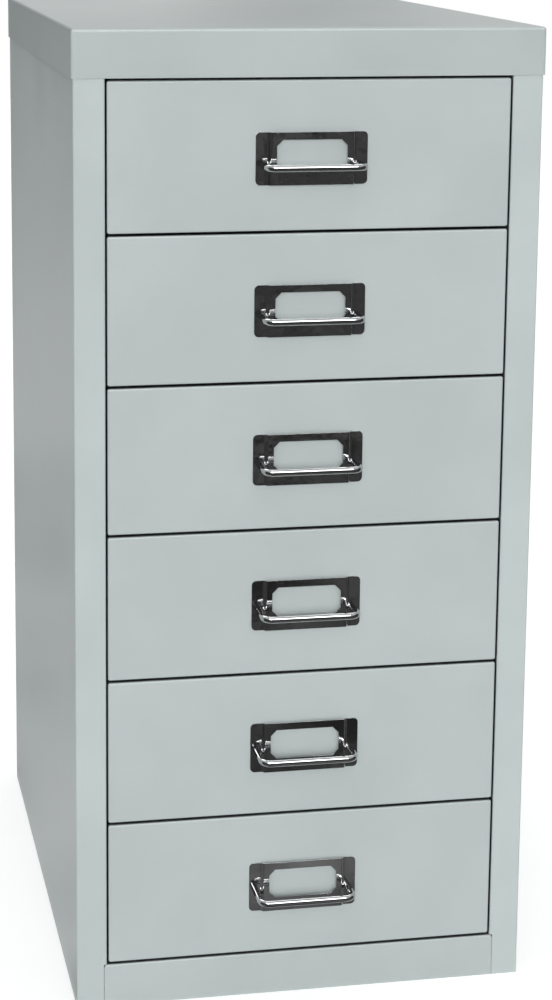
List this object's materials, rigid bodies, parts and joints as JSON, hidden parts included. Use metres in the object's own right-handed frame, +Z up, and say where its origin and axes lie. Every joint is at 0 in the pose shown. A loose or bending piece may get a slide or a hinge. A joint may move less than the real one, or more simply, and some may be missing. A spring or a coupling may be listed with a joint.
{
  "type": "small metal drawer cabinet",
  "caption": "Upright folded-steel desktop cabinet with a capped top and a column of equal shallow drawers, each with a card plate and a wire pull, sliding out on channel runners.",
  "frame": {"origin": "middle of the carcass footprint, on the surface that the cabinet stands on", "axes": "+Z up, +X to the right seen from the front, -Y out of the drawer fronts"},
  "size_m": [0.279, 0.399, 0.59],
  "materials": {
    "painted_steel": "light grey semi-matt powder paint",
    "galvanised_steel": "galvanised sheet",
    "chrome_plate": "bright chrome plate",
    "zinc_plate": "bright zinc plate",
    "nylon": "natural moulded nylon"
  },
  "bodies": {
    "carcass": {"left_side": "painted_steel", "right_side": "painted_steel", "back_panel": "painted_steel", "base_panel": "painted_steel", "top_cap": "painted_steel", "bottom_rail": "painted_steel", "header_rail": "painted_steel", "runner_1_left": "galvanised_steel", "runner_1_right": "galvanised_steel", "runner_2_left": "galvanised_steel", "runner_2_right": "galvanised_steel", "runner_3_left": "galvanised_steel", "runner_3_right": "galvanised_steel", "runner_4_left": "galvanised_steel", "runner_4_right": "galvanised_steel", "runner_5_left": "galvanised_steel", "runner_5_right": "galvanised_steel", "runner_6_left": "galvanised_steel", "runner_6_right": "galvanised_steel"},
    "drawer_1": {"drawer_1_front": "painted_steel", "drawer_1_tray": "painted_steel", "drawer_1_stops": "nylon", "drawer_1_card_plate": "chrome_plate", "drawer_1_pull_bar": "chrome_plate", "drawer_1_pull_washers": "zinc_plate"},
    "drawer_2": {"drawer_2_front": "painted_steel", "drawer_2_tray": "painted_steel", "drawer_2_stops": "nylon", "drawer_2_card_plate": "chrome_plate", "drawer_2_pull_bar": "chrome_plate", "drawer_2_pull_washers": "zinc_plate"},
    "drawer_3": {"drawer_3_front": "painted_steel", "drawer_3_tray": "painted_steel", "drawer_3_stops": "nylon", "drawer_3_card_plate": "chrome_plate", "drawer_3_pull_bar": "chrome_plate", "drawer_3_pull_washers": "zinc_plate"},
    "drawer_4": {"drawer_4_front": "painted_steel", "drawer_4_tray": "painted_steel", "drawer_4_stops": "nylon", "drawer_4_card_plate": "chrome_plate", "drawer_4_pull_bar": "chrome_plate", "drawer_4_pull_washers": "zinc_plate"},
    "drawer_5": {"drawer_5_front": "painted_steel", "drawer_5_tray": "painted_steel", "drawer_5_stops": "nylon", "drawer_5_card_plate": "chrome_plate", "drawer_5_pull_bar": "chrome_plate", "drawer_5_pull_washers": "zinc_plate"},
    "drawer_6": {"drawer_6_front": "painted_steel", "drawer_6_tray": "painted_steel", "drawer_6_stops": "nylon", "drawer_6_card_plate": "chrome_plate", "drawer_6_pull_bar": "chrome_plate", "drawer_6_pull_washers": "zinc_plate"}
  },
  "joints": [
    {"name": "drawer_1_slide", "type": "slide", "parent": "carcass", "child": "drawer_1", "axis": [0, -1, 0], "range_m": [0, 0.3]},
    {"name": "drawer_2_slide", "type": "slide", "parent": "carcass", "child": "drawer_2", "axis": [0, -1, 0], "range_m": [0, 0.3]},
    {"name": "drawer_3_slide", "type": "slide", "parent": "carcass", "child": "drawer_3", "axis": [0, -1, 0], "range_m": [0, 0.3]},
    {"name": "drawer_4_slide", "type": "slide", "parent": "carcass", "child": "drawer_4", "axis": [0, -1, 0], "range_m": [0, 0.3]},
    {"name": "drawer_5_slide", "type": "slide", "parent": "carcass", "child": "drawer_5", "axis": [0, -1, 0], "range_m": [0, 0.3]},
    {"name": "drawer_6_slide", "type": "slide", "parent": "carcass", "child": "drawer_6", "axis": [0, -1, 0], "range_m": [0, 0.3]}
  ]
}
